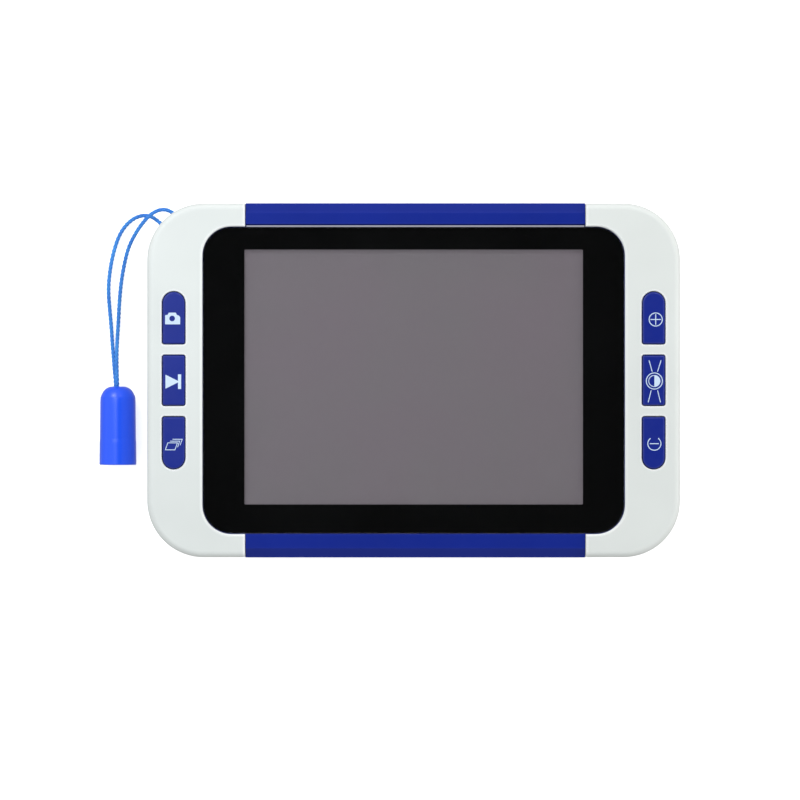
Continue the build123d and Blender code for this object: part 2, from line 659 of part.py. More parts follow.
# The upper strand leaves the port nearer the top edge and crosses over the other one.
UPPER_ROUTE = [
    (-73.1, 51.1, 6.3),
    (-76.0, 51.8, 6.9),
    (-79.0, 50.5, 7.2),
    (-81.5, 48.0, 6.7),
    (-84.0, 44.5, 4.7),
    (-86.1, 40.5, 2.6),
    (-87.4, 35.8, 1.1),
    (-88.4, 30.3, 0.8),
    (-89.0, 24.0, 0.7),
    (-89.3, 17.6, 0.9),
    (-89.6, 12.4, 2.0),
    (-89.75, 7.6, 4.0),
    (-89.65, 3.0, 5.8),
    (-89.45, -1.5, 6.25),
    (-89.35, -5.8, 6.2),
]
LOWER_ROUTE = [
    (-76.7, 47.8, 5.4),
    (-79.7, 49.9, 3.6),
    (-83.2, 49.8, 2.0),
    (-86.6, 47.6, 1.1),
    (-89.1, 44.0, 0.8),
    (-90.8, 38.8, 0.75),
    (-91.9, 33.2, 0.7),
    (-92.4, 27.2, 0.72),
    (-91.9, 21.2, 0.7),
    (-91.4, 15.6, 0.85),
    (-91.1, 11.2, 1.6),
    (-90.7, 7.0, 2.9),
    (-90.35, 2.8, 4.4),
    (-89.9, -1.5, 5.0),
    (-89.9, -5.8, 4.95),
]


def cord_tube(name, points):
    """A round cord along straight runs joined by tangent arcs as large as the runs allow."""
    spots = [Vector(*point) for point in points]
    radii = []
    for before, here, after in zip(spots, spots[1:], spots[2:]):
        turn = (here - before).get_angle(after - here)
        shorter = min((here - before).length, (after - here).length)
        radii.append(0.45 * shorter / tan(radians(turn / 2)))
    path = FilletPolyline(*spots, radius=radii)
    tube = sweep(Plane(origin=path @ 0, z_dir=path % 0) * Circle(CORD_D / 2), path=path)
    section = 3.14159265 * CORD_D ** 2 / 4
    print(name, "length", round(path.length, 1), "volume", round(tube.volume, 1), "expected",
          round(section * path.length, 1), "radii", [round(radius, 1) for radius in radii])
    return tube


def cord_bell():
    """Moulded bell on the lanyard's end: domed neck, hollow, a little flared at its mouth."""
    outer = [
        (NECK_R, BELL_TOP),
        (2.6, BELL_TOP - 0.15),
        (4.2, BELL_TOP - 1.2),
        (5.1, BELL_TOP - 2.8),
        (BELL_R, BELL_TOP - 5.0),
    ]
    dome = Spline(*outer, tangents=[(1, 0), (0.03, -1)])
    flare = Polyline(outer[-1], (BELL_R + 0.1, -17.6), (BELL_FLARE_R - 0.08, -18.6),
                     (BELL_FLARE_R, BELL_END + 0.25), (BELL_FLARE_R - 0.25, BELL_END),
                     (BELL_BORE_R, BELL_END), (BELL_BORE_R, -6.2), (BELL_BORE_R - 1.2, -4.9),
                     (NECK_R, -4.9), outer[0])
    shell = revolve(make_face(dome + flare), Axis.Y)
    return Pos(BELL_X, 0, BELL_Z) * shell


def cord_knot():
    """The two strands tied together inside the bell."""
    return Pos(BELL_X - 0.2, KNOT_Y, BELL_Z) * Rot(90, 0, 0) * (
        Sphere(KNOT_R) & Cylinder(KNOT_R, 2 * KNOT_R - 0.6))


# ---- the whole object ----------------------------------------------------------------
def corner_screws():
    """Four long screws that clamp the rear covers to the front covers."""
    return [screw(x, y, 3.4, 1.6, 2.3, 1.0, 22.0) for x, y in at_corners(BOSS_X, BOSS_Y)]


def board_screws():
    """Four short screws under the main board."""
    return [screw(x, y, BOARD_Z - 1.1, 1.1, 1.9, 0.8, 21.5) for x, y in at_corners(POST_X, POST_Y)]


def key_board_screws():
    """Four short screws under the two key boards."""
    return [screw(x, y, KEY_BOARD_Z - 0.9, 0.9, 1.6, 0.8, 22.4) for x, y in at_corners(KEY_X, KEY_POST_Y)]


KEYS = {
    "capture_key": (-1, "upper"),
    "freeze_key": (-1, "middle"),
    "gallery_key": (-1, "lower"),
    "zoom_in_key": (1, "upper"),
    "light_key": (1, "middle"),
    "zoom_out_key": (1, "lower"),
}


def all_parts():
    """Every piece of the magnifier by its node name."""
    parts = {
        "front_frame": front_frame(),
        "left_front_cover": front_cover(-1),
        "right_front_cover": front_cover(1),
        "rear_housing": rear_housing(),
        "left_rear_cover": rear_cover(-1),
        "right_rear_cover": rear_cover(1),
        "battery_door": battery_door(),
        "rear_stand": rear_stand(),
        "stand_pins": stand_pins(),
        "rubber_feet": rubber_feet(),
        "corner_screws": corner_screws(),
        "board_screws": board_screws(),
        "key_board_screws": key_board_screws(),
        "screen_glass": screen_glass(),
        "glass_seal": glass_seal(),
        "lcd_panel": lcd_panel(),
        "lcd_gasket": lcd_gasket(),
        "lcd_bracket": lcd_bracket(),
        "lcd_flex": lcd_flex(),
        "main_board": main_board(),
        "board_chips": board_chips(),
        "board_sockets": board_sockets(),
        "processor_shield": processor_shield(),
        "buzzer": buzzer(),
        "av_jack": av_jack(),
        "usb_socket": usb_socket(),
        "card_socket": card_socket(),
        "power_switch": power_switch(),
        "power_button": power_button(),
        "camera_board": camera_board(),
        "camera_holder": camera_holder(),
        "camera_lens": camera_lens(),
        "camera_window": camera_window(),
        "lamp_board": lamp_board(),
        "lamps": lamps(),
        "lamp_ribbon": lamp_ribbon(),
        "battery_pack": battery_pack(),
        "battery_contacts": battery_contacts(),
        "cord_bell": cord_bell(),
        "cord_knot": cord_knot(),
        "upper_strand": cord_tube("upper_strand", eyelet_run(-1) + UPPER_ROUTE),
        "lower_strand": cord_tube("lower_strand", eyelet_run(1) + LOWER_ROUTE),
    }
    for name, (side, place) in KEYS.items():
        parts[name] = key(side, place)
    for name, side in (("left", -1), ("right", 1)):
        parts[name + "_key_board"] = key_board(side)
        parts[name + "_key_switches"] = key_switches(side)
        parts[name + "_key_ribbon"] = key_ribbon(side)
    return parts


os.makedirs("parts", exist_ok=True)
for node, shape in all_parts().items():
    if isinstance(shape, list):
        shape = Compound(children=shape)
    export_step(shape, f"parts/{node}.step")
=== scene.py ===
# %% [markdown]
# # A handheld video magnifier
# The magnifier is a five-inch screen in a blue and white plastic housing, with a wrist lanyard.
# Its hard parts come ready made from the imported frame, at their real size and place.
# This lesson gives every part its finish, and makes what is too fine for the frame:
# the braided cord and its knot, the black print under the glass, and the signs on the keys.

# %% Load the frame
import json
import math

import bmesh
import bpy
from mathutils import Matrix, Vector
from mathutils.geometry import tessellate_polygon


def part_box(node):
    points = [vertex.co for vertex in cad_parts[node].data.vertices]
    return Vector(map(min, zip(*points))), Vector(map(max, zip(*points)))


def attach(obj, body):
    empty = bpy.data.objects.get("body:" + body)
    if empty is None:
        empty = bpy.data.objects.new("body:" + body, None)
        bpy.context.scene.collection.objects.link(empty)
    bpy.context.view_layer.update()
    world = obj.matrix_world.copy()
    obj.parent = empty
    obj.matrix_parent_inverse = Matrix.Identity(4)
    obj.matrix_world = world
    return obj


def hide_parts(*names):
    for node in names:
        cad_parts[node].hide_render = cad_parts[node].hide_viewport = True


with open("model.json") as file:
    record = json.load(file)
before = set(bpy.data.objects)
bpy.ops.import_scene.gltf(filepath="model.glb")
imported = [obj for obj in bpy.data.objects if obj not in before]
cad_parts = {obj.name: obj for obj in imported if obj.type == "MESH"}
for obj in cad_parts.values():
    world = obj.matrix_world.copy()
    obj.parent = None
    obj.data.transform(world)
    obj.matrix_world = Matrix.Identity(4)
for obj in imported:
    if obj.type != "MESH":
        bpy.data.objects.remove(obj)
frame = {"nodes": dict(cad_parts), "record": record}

mm = 0.001
scene = bpy.context.scene
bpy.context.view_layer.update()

# %% [markdown]
# ## Camera
# The magnifier lies on its back and is seen from straight above.
# A wide lens close by would be easier to place, but it would lean every edge outwards.
# So a long lens looks from three metres, as on a copy stand, and keeps the upright sides
# out of sight.

# %% Place the camera
cover_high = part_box("left_front_cover")[1]
camera_rise = 3.0
view_width = 240 * mm
aim = Vector((-4.1 * mm, -5.9 * mm, cover_high.z))

camera_data = bpy.data.cameras.new("camera")
camera_data.sensor_width = 36
camera_data.lens = camera_data.sensor_width * camera_rise / view_width
camera_data.clip_end = 50
camera = bpy.data.objects.new("camera", camera_data)
camera.location = aim + Vector((0, 0, camera_rise))
scene.collection.objects.link(camera)
scene.camera = camera
print("lens", round(camera_data.lens), "mm")

# %% [markdown]
# ## Lanyard cord
# One thin braided cord goes through the eyelet in the corner, round a bar inside it, and both
# of its strands run into the bell, where they are knotted.
# A strand could be a plain tube with a bump pattern, but the weave then vanishes at its edges.
# So each strand's line is one smooth curve, and eight yarns are wound along it, over and
# under each other, round a plain core.

# %% Read a smooth line from a route
cord_radius = 0.65 * mm


def smooth_line(name, points):
    """Points close together along one smooth curve that the route's points steer."""
    curve = bpy.data.curves.new(name, "CURVE")
    curve.dimensions = "3D"
    spline = curve.splines.new("NURBS")
    spline.points.add(len(points) - 1)
    for spot, place in zip(spline.points, points):
        spot.co = (*(Vector(place) * mm), 1)
    spline.order_u = 3
    spline.use_endpoint_u = True
    spline.resolution_u = 12
    guide = bpy.data.objects.new(name, curve)
    scene.collection.objects.link(guide)
    bpy.context.view_layer.update()
    shown = guide.evaluated_get(bpy.context.evaluated_depsgraph_get())
    line_mesh = bpy.data.meshes.new_from_object(shown)
    line = [vertex.co.copy() for vertex in line_mesh.vertices]
    bpy.data.objects.remove(guide)
    bpy.data.meshes.remove(line_mesh)
    return line


def line_length(line):
    return sum((b - a).length for a, b in zip(line, line[1:]))


# %% Walk along a line in even steps
yarn_step = 0.16 * mm


def even_steps(line, step):
    """The same line with its points a fixed step apart."""
    spots, carried = [line[0].copy()], 0.0
    for a, b in zip(line, line[1:]):
        run = (b - a).length
        while carried + run >= step:
            a = a.lerp(b, (step - carried) / run)
            run = (b - a).length
            carried = 0.0
            spots.append(a.copy())
        carried += run
    return spots


def frames_along(line):
    """Two directions across the line at each point, turning as little as they can."""
    across = (line[1] - line[0]).orthogonal().normalized()
    pairs = []
    for index in range(len(line)):
        before, after = line[max(index - 1, 0)], line[min(index + 1, len(line) - 1)]
        along = (after - before).normalized()
        across = (across - along * across.dot(along)).normalized()
        pairs.append((across, along.cross(across)))
    return pairs


# %% Wind yarns round a core
def add_tube(mesh, centres, pairs, radius, corners):
    """Add a round closed tube along a list of centres to a bmesh."""
    turns = [2 * math.pi * corner / corners for corner in range(corners)]
    rings = []
    for centre, (side, up) in zip(centres, pairs):
        outs = [side * math.cos(turn) + up * math.sin(turn) for turn in turns]
        rings.append([mesh.verts.new(centre + out * radius) for out in outs])
    for low, high in zip(rings, rings[1:]):
        for corner in range(corners):
            follow = (corner + 1) % corners
            face = mesh.faces.new((low[corner], low[follow], high[follow], high[corner]))
            face.smooth = True
    mesh.faces.new(list(reversed(rings[0])))
    mesh.faces.new(rings[-1])


def add_braid(mesh, line):
    """Add one strand to a bmesh: a core and eight yarns, four wound each way."""
    yarn_radius, wave, pitch = 0.17 * mm, 0.05 * mm, 5.2 * mm
    core_corners, yarn_corners = 10, 6
    core_radius = cord_radius - yarn_radius - wave
    spots = even_steps(line, yarn_step)
    pairs = frames_along(spots)
    add_tube(mesh, spots, pairs, core_radius, core_corners)
    for way in (-1, 1):
        for yarn in range(4):
            centres, yarn_pairs = [], []
            for index, (spot, (side, up)) in enumerate(zip(spots, pairs)):
                turn = way * 2 * math.pi * index * yarn_step / pitch
                rise = core_radius + way * wave * math.cos(4 * turn)
                turn += yarn * math.pi / 2
                out = side * math.cos(turn) + up * math.sin(turn)
                centres.append(spot + out * rise)
                yarn_pairs.append((out, up * math.cos(turn) - side * math.sin(turn)))
            add_tube(mesh, centres, yarn_pairs, yarn_radius, yarn_corners)


def new_piece(name, mesh):
    """An object made from a finished bmesh."""
    data = bpy.data.meshes.new(name)
    mesh.to_mesh(data)
    mesh.free()
    piece = bpy.data.objects.new(name, data)
    scene.collection.objects.link(piece)
    return piece


# %% Lay both strands
upper_points = [
    (-71.85, 46.03, 6.0),
    (-70.91, 46.86, 6.0),
    (-70.82, 48.49, 6.0),
    (-73.1, 51.1, 6.3),
    (-76.0, 51.8, 6.9),
    (-79.0, 50.5, 7.2),
    (-81.5, 48.0, 6.7),
    (-84.0, 44.5, 4.7),
    (-86.1, 40.5, 2.6),
    (-87.4, 35.8, 1.1),
    (-88.4, 30.3, 0.8),
    (-89.0, 24.0, 0.7),
    (-89.3, 17.6, 0.9),
    (-89.6, 12.4, 2.0),
    (-89.75, 7.6, 4.0),
    (-89.65, 3.0, 5.8),
    (-89.45, -1.5, 6.25),
    (-89.35, -5.8, 6.2),
]
lower_points = [
    (-71.85, 46.03, 6.0),
    (-72.78, 45.20, 6.0),
    (-74.40, 45.29, 6.0),
    (-76.7, 47.8, 5.4),
    (-79.7, 49.9, 3.6),
    (-83.2, 49.8, 2.0),
    (-86.6, 47.6, 1.1),
    (-89.1, 44.0, 0.8),
    (-90.8, 38.8, 0.75),
    (-91.9, 33.2, 0.7),
    (-92.4, 27.2, 0.72),
    (-91.9, 21.2, 0.7),
    (-91.4, 15.6, 0.85),
    (-91.1, 11.2, 1.6),
    (-90.7, 7.0, 2.9),
    (-90.35, 2.8, 4.4),
    (-89.9, -1.5, 5.0),
    (-89.9, -5.8, 4.95),
]
lines = {"upper": smooth_line("upper_route", upper_points),
         "lower": smooth_line("lower_route", lower_points)}
strands = {}
for which, line in lines.items():
    mesh = bmesh.new()
    add_braid(mesh, line)
    strands[which] = new_piece(which + "_cord", mesh)
    print(which, "strand", round(line_length(line) / mm, 1), "mm")

# %% [markdown]
# ## Knot
# Inside the bell both strands are tied in one overhand knot, and their cut ends hang below it.
# A ball would fill the same space, but the knot can be seen through the bell's mouth.
# An overhand knot's loops follow a short formula, so a few points steer a smooth line round
# it, and the same yarns are wound along that line.

# %% Tie the knot
knot_low, knot_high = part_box("cord_knot")
knot_middle = (knot_low + knot_high) / 2 / mm
loop_width, loop_depth, loop_steps = 0.7, 0.85, 24


def knot_point(share):
    """A point of the overhand knot, in millimetres, for a share of the way round it."""
    turn = 2 * math.pi * share
    return knot_middle + Vector(((math.sin(turn) + 2 * math.sin(2 * turn)) * loop_width,
                                 -math.sin(3 * turn) * loop_depth,
                                 (math.cos(turn) - 2 * math.cos(2 * turn)) * loop_width))


mesh = bmesh.new()
knot_points = [knot_point(step / loop_steps) for step in range(loop_steps + 1)]
add_braid(mesh, smooth_line("knot_route", knot_points))
for lean in (-1, 1):
    tail = [knot_middle + Vector(place) for place in (
        (lean * 0.7, -0.4, lean * 0.5), (lean * 0.8, -2.6, lean * 0.6),
        (lean * 1.5, -4.4, lean * 0.5), (lean * 1.9, -6.2, -0.4))]
    add_braid(mesh, smooth_line("tail_route", tail))
tied_knot = new_piece("tied_knot", mesh)
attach(tied_knot, "housing")
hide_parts("cord_knot")
print("knot", [round(size / mm, 1) for size in tied_knot.dimensions], "mm")

for which, strand in strands.items():
    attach(strand, "housing")
    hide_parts(which + "_strand")
print("strands declared:", sorted(strands))

# %% [markdown]
# ## Printed border
# The cover glass is printed black from behind, all round the lit part of the screen.
# The border could be painted into the glass with a mask, but clear and black glass then need
# one mixed shader. A thin black frame just inside the glass's underside looks like the
# print does, with a sharp inner edge and the glass's gloss over it.

# %% Cut flat plates from outlines
def rounded(width, height, radius, centre=(0, 0), steps=10):
    """The outline of a rectangle with round corners."""
    loop = []
    for corner, (side, end) in enumerate(((1, 1), (-1, 1), (-1, -1), (1, -1))):
        for step in range(steps + 1):
            turn = math.pi / 2 * (corner + step / steps)
            loop.append((centre[0] + side * (width / 2 - radius) + radius * math.cos(turn),
                         centre[1] + end * (height / 2 - radius) + radius * math.sin(turn)))
    return loop


def add_plate(mesh, loops, thickness, place):
    """Add a flat closed plate to a bmesh: the first loop is its outline, others are holes."""
    lower = [[mesh.verts.new(place(x, y, 0)) for x, y in loop] for loop in loops]
    upper = [[mesh.verts.new(place(x, y, thickness)) for x, y in loop] for loop in loops]
    flat = [[Vector((x, y, 0)) for x, y in loop] for loop in loops]
    floor_row, roof_row = sum(lower, []), sum(upper, [])
    for trio in tessellate_polygon(flat):
        mesh.faces.new([roof_row[corner] for corner in trio])
        mesh.faces.new([floor_row[corner] for corner in reversed(trio)])
    for low_ring, high_ring in zip(lower, upper):
        for corner in range(len(low_ring)):
            follow = (corner + 1) % len(low_ring)
            mesh.faces.new((low_ring[corner], low_ring[follow],
                            high_ring[follow], high_ring[corner]))
    bmesh.ops.recalc_face_normals(mesh, faces=mesh.faces)


# %% Print the border
glass_low, glass_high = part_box("screen_glass")
glass_middle = (glass_low + glass_high) / 2 / mm
glass_size = (glass_high - glass_low) / mm
lit_width, lit_height, lit_corner, lit_rise = 101.6, 76.5, 0.3, 1.0
print_inset, print_corner = 0.5, 8.35
print_start, print_thickness = 0.03, 0.07


def in_the_glass(x, y, rise):
    return Vector((x, y, glass_low.z / mm + print_start + rise)) * mm


outer_edge = rounded(glass_size.x - print_inset, glass_size.y - print_inset, print_corner,
                     glass_middle)
inner_edge = rounded(lit_width, lit_height, lit_corner,
                     (glass_middle.x, glass_middle.y + lit_rise))
mesh = bmesh.new()
add_plate(mesh, [outer_edge, inner_edge], print_thickness, in_the_glass)
printed_border = new_piece("printed_border", mesh)
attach(printed_border, "housing")
print("border", [round(size / mm, 2) for size in printed_border.dimensions], "mm")

# %% [markdown]
# ## Signs on the keys
# Each key has a small light sign that says what it does: a camera, play and stop, a stack of
# pages, larger, light, and smaller. They are thin plates of ink, hardly proud of the plastic.
# A sign could be painted by the key's shader, but sharp corners at this size need many nodes.
# Flat plates cut from simple outlines are sharp at any distance and move with their key.

# %% Draw the outlines
line_width = 0.26


def circle(radius, centre=(0, 0), steps=48):
    return arc(radius, 0, 360 - 360 / steps, centre, steps - 1)


def arc(radius, start, end, centre=(0, 0), steps=36):
    turns = [math.radians(start + (end - start) * step / steps) for step in range(steps + 1)]
    return [(centre[0] + radius * math.cos(turn), centre[1] + radius * math.sin(turn))
            for turn in turns]


def band(radius, start, end, width=line_width):
    """The outline of a bent strip, whose outer edge has the radius."""
    return arc(radius, start, end) + arc(radius - width, end, start)


def stroke(start, end, width=line_width):
    """The outline of a straight strip between two points."""
    start, end = Vector(start), Vector(end)
    across = (end - start).orthogonal().normalized() * width / 2
    corners = (start - across, end - across, end + across, start + across)
    return [tuple(corner) for corner in corners]


def leaning(loop, lean=0.35):
    """The same outline, pushed sideways as it rises."""
    return [(x + lean * y, y) for x, y in loop]


camera_body = [(-2.25, -1.75), (2.25, -1.75), (2.25, 0.45), (1.75, 0.95), (1.3, 1.05),
               (0.95, 1.75), (-1.15, 1.75), (-1.5, 1.1), (-2.25, 1.0)]
play_and_stop = [(-2.35, -2.1), (1.4, -0.22), (1.4, -2.2), (2.35, -2.2),
                 (2.35, 2.2), (1.4, 2.2), (1.4, 0.22), (-2.35, 2.1)]
front_page = [leaning([(-2.1, -1.8), (1.0, -1.8), (1.0, 0.5), (-2.1, 0.5)]),
              leaning([(-1.89, -1.59), (0.79, -1.59), (0.79, 0.29), (-1.89, 0.29)])]
page_behind = [(-1.5, 0.8), (1.3, 0.8), (1.3, -0.9), (1.51, -0.9), (1.51, 1.01), (-1.5, 1.01)]
page_shift = 0.56
last_page = [(x + page_shift, y + page_shift) for x, y in page_behind]
arm, half_line = 1.6, line_width / 2
cross = [(half_line, half_line), (half_line, arm), (-half_line, arm), (-half_line, half_line),
         (-arm, half_line), (-arm, -half_line), (-half_line, -half_line), (-half_line, -arm),
         (half_line, -arm), (half_line, -half_line), (arm, -half_line), (arm, half_line)]
rays = [((-1.6, 6.2), (-0.65, 2.8)), ((2.0, 6.2), (0.95, 2.8)),
        ((-1.85, -6.4), (-0.95, -2.8)), ((1.85, -6.4), (0.95, -2.8))]

# %% Press the signs on
facings = {
    "up": (Vector((1, 0, 0)), Vector((0, 1, 0)), Vector((0, 0, 1))),
    "back": (Vector((-1, 0, 0)), Vector((0, 0, 1)), Vector((0, 1, 0))),
    "down": (Vector((-1, 0, 0)), Vector((0, 1, 0)), Vector((0, 0, -1))),
}
ink_rise, ink_depth = 0.02, 0.03
signs = []


def press_sign(node, facing, shift, plates):
    """Put a sign's plates on the middle of a node's outer face, shifted in millimetres."""
    low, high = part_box(node)
    right, up, out = facings[facing]
    middle = (low + high) / 2 / mm
    reach = abs(out.dot(high - low)) / 2 / mm
    origin = middle + out * (reach - ink_depth) + right * shift[0] + up * shift[1]
    mesh = bmesh.new()
    for loops in plates:
        add_plate(mesh, loops, ink_depth + ink_rise,
                  lambda x, y, rise: (origin + right * x + up * y + out * rise) * mm)
    sign = new_piece(node + "_sign", mesh)
    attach(sign, node)
    signs.append(sign)


press_sign("capture_key", "up", (-0.3, -0.2), [[camera_body, circle(0.85, (-0.15, 0))]])
press_sign("freeze_key", "up", (-0.1, -0.4), [[play_and_stop]])
press_sign("gallery_key", "up", (0.1, -0.4),
           [front_page, [leaning(page_behind)], [leaning(last_page)]])
press_sign("zoom_in_key", "up", (0.6, -0.5), [[circle(2.1), circle(2.1 - line_width)], [cross]])
press_sign("light_key", "up", (0.2, -0.2),
           [[circle(2.55), circle(2.55 - line_width)],
            [arc(1.8, -90, 90)],
            [band(1.8, 92, 268, 0.22)],
            *([stroke(*ray, 0.24)] for ray in rays)])
press_sign("zoom_out_key", "up", (0.2, -0.25),
           [[band(2.1, 125, 415)], [stroke((-1.35, 0), (1.35, 0))]])
press_sign("power_button", "back", (0, -0.1),
           [[band(0.95, 125, 415, 0.25)], [stroke((0, 0.35), (0, 1.15), 0.25)]])
press_sign("battery_door", "down", (0, 4.0), [[[(-2.6, 1.2), (2.6, 1.2), (0, -1.6)]]])
print("signs", [sign.name for sign in signs])

# %% [markdown]
# ## Floor and light
# The magnifier lies on a white table that is itself a little lit, as a light table is, so its
# own shadow stays faint. Two windows behind it, a near lamp on the left and a low one on the
# right light it, inside a white tent that is open at the top.
# An even white sky would be simpler, but then the black glass would mirror it and turn grey.
# The tent's dark opening is what the flat glass mirrors, while every bevel mirrors its walls.
# Neither gloss nor glass shows the low lamp, because from the left it would fill the whole
# screen with white.
# The table is clear from below, where the tent stands in for its glow, so that the underside
# and the stand can be looked at as well.

# %% Lay the table
def put(tree, kind, feeds=None, **settings):
    """Add one node with its settings, and feed its inputs with values or other nodes' outputs."""
    node = tree.nodes.new(kind)
    for name, value in settings.items():
        setattr(node, name, value)
    for name, value in (feeds or {}).items():
        if isinstance(value, bpy.types.NodeSocket):
            tree.links.new(value, node.inputs[name])
        else:
            node.inputs[name].default_value = value
    return node


def start_finish(name, **sockets):
    """A new material, its nodes and its Principled shader, with constants set on the shader."""
    material = bpy.data.materials.new(name)
    material.use_nodes = True
    tree = material.node_tree
    shader = tree.nodes["Principled BSDF"]
    for label, value in sockets.items():
        shader.inputs[label.replace("_", " ")].default_value = value
    return material, tree, shader


def see_through_where(tree, shader, share):
    """Let a material be clear where the share is 1."""
    open_air = put(tree, "ShaderNodeBsdfTransparent")
    both = put(tree, "ShaderNodeMixShader",
               {0: share, 1: shader.outputs[0], 2: open_air.outputs[0]})
    tree.links.new(both.outputs[0], tree.nodes["Material Output"].inputs["Surface"])


table_size, table_drop = 8.0, 0.05 * mm

mesh = bmesh.new()
bmesh.ops.create_grid(mesh, x_segments=1, y_segments=1, size=table_size / 2)
floor = new_piece("table", mesh)
floor.location.z = -table_drop
material, tree, shader = start_finish(
    "table_white", Base_Color=(0.88, 0.88, 0.88, 1), Roughness=0.9, Specular_IOR_Level=0.1,
    Emission_Color=(1, 1, 1, 1), Emission_Strength=0.7)
see_through_where(tree, shader, put(tree, "ShaderNodeNewGeometry").outputs["Backfacing"])
floor.visible_diffuse = floor.visible_glossy = False
floor.visible_transmission = floor.visible_shadow = False
floor.data.materials.append(material)
print("table", table_size, "m wide")


# %% Hang the lamps
def hang_lamp(name, size, power, at, target=(0, 0, 0), colour=(1, 1, 1), mirrored=True):
    """A square lamp that faces its target. Gloss and glass show it only if it is mirrored."""
    data = bpy.data.lights.new(name, "AREA")
    data.shape = "SQUARE"
    data.size = size
    data.energy = power
    data.color = colour
    lamp = bpy.data.objects.new(name, data)
    lamp.location = at
    lamp.rotation_euler = (Vector(target) - lamp.location).to_track_quat("-Z", "Y").to_euler()
    lamp.visible_camera = False
    lamp.visible_glossy = lamp.visible_transmission = mirrored
    scene.collection.objects.link(lamp)
    print(name, power, "W")


hang_lamp("left_window", 0.20, 1.00, (-0.32, 0.38, 0.40))
hang_lamp("right_window", 0.16, 0.50, (0.19, 0.41, 0.34))
hang_lamp("near_lamp", 0.14, 0.21, (-0.165, 0.06, 0.30), (-0.07, 0, 0), (0.85, 0.97, 1.1))
hang_lamp("low_lamp", 0.30, 1.1, (0.55, 0.05, 0.22), mirrored=False)

# %% Pitch the tent
wall_light, opening_light, table_glow = 0.80, 0.03, 0.45
opening_edge, wall_edge, glow_edge = 0.96, 0.82, -0.03

world = bpy.data.worlds.new("tent")
world.use_nodes = True
tent = world.node_tree
direction = put(tent, "ShaderNodeTexCoord").outputs["Generated"]
height = put(tent, "ShaderNodeSeparateXYZ", {"Vector": direction}).outputs["Z"]
strength = put(tent, "ShaderNodeMapRange",
               {"Value": height, "From Min": wall_edge, "From Max": opening_edge,
                "To Min": wall_light, "To Max": opening_light},
               interpolation_type="SMOOTHSTEP").outputs["Result"]
below = put(tent, "ShaderNodeMapRange",
            {"Value": height, "From Min": glow_edge, "From Max": 0.0,
             "To Min": table_glow, "To Max": wall_light}).outputs["Result"]
strength = put(tent, "ShaderNodeMath", {0: strength, 1: below}, operation="MINIMUM").outputs[0]
tent.nodes["Background"].inputs["Color"].default_value = (1, 1, 1, 1)
tent.links.new(strength, tent.nodes["Background"].inputs["Strength"])
scene.world = world
scene.view_settings.view_transform = "Standard"
print("tent from", opening_light, "to", wall_light)

# %% [markdown]
# ## Effects that many finishes share
# Moulded plastic, metal and cloth all show the same few things: a fine grain, rounded edges
# with a mask along them, hairline scratches, and a little dust. The edge mask lets a finish
# change its colour along the edges: a painted highlight on plastic and metal, a darker tone on
# the films.
# Each could be made again in every material. A node group is made once instead, with named
# inputs, and every finish places it with values of its own. Sizes go in as millimetres.

# %% Make a group
def new_group(name, inputs, outputs):
    """A shader node group with float inputs, and its two ends."""
    group = bpy.data.node_groups.new(name, "ShaderNodeTree")
    for label, value in inputs.items():
        socket = group.interface.new_socket(label, in_out="INPUT", socket_type="NodeSocketFloat")
        socket.default_value = value
    for label, kind in outputs.items():
        group.interface.new_socket(label, in_out="OUTPUT", socket_type="NodeSocket" + kind)
    return group, put(group, "NodeGroupInput").outputs, put(group, "NodeGroupOutput").inputs


def calculate(tree, operation, first, second=0.0, third=0.0, clamp=False):
    feeds = {0: first, 1: second, 2: third}
    return put(tree, "ShaderNodeMath", feeds, operation=operation, use_clamp=clamp).outputs[0]


def in_millimetres(tree):
    """The place on the object, in millimetres."""
    place = put(tree, "ShaderNodeTexCoord").outputs["Object"]
    return put(tree, "ShaderNodeVectorMath", {0: place, "Scale": 1000.0},
               operation="SCALE").outputs["Vector"]


def cloud(tree, place, size, detail=2.0, rough=0.5):
    """Soft noise whose blotches are about this many millimetres wide."""
    return put(tree, "ShaderNodeTexNoise",
               {"Vector": place, "Scale": calculate(tree, "DIVIDE", 1.0, size),
                "Detail": detail, "Roughness": rough}).outputs["Fac"]


def remap(tree, value, low, high, new_low=0.0, new_high=1.0):
    return put(tree, "ShaderNodeMapRange",
               {"Value": value, "From Min": low, "From Max": high,
                "To Min": new_low, "To Max": new_high}).outputs["Result"]


# %% Grain
grain, asked, given = new_group(
    "surface_grain", {"Grain": 0.3, "Drift": 20.0},
    {"Height": "Float", "Drift": "Float", "Gloss": "Float"})
place = in_millimetres(grain)
fine = cloud(grain, place, asked["Grain"], 3.0, 0.6)
broad = cloud(grain, place, asked["Drift"], 2.0)
patchy = cloud(grain, place, calculate(grain, "MULTIPLY", asked["Grain"], 9.0), 4.0, 0.65)
grain.links.new(fine, given["Height"])
grain.links.new(remap(grain, broad, 0.3, 0.7), given["Drift"])
grain.links.new(remap(grain, patchy, 0.3, 0.7, -1.0, 1.0), given["Gloss"])
print("group", grain.name)

# %% Edges
edges, asked, given = new_group(
    "soft_edges", {"Band": 0.6, "Round": 0.15}, {"Mask": "Float", "Normal": "Vector"})
wide, close = [put(edges, "ShaderNodeBevel",
                   {"Radius": calculate(edges, "MULTIPLY", asked[label], mm)},
                   samples=4).outputs["Normal"] for label in ("Band", "Round")]
straight = put(edges, "ShaderNodeNewGeometry").outputs["Normal"]
match = put(edges, "ShaderNodeVectorMath", {0: wide, 1: straight},
            operation="DOT_PRODUCT").outputs["Value"]
edges.links.new(remap(edges, match, 0.9995, 0.93), given["Mask"])
edges.links.new(close, given["Normal"])
print("group", edges.name)

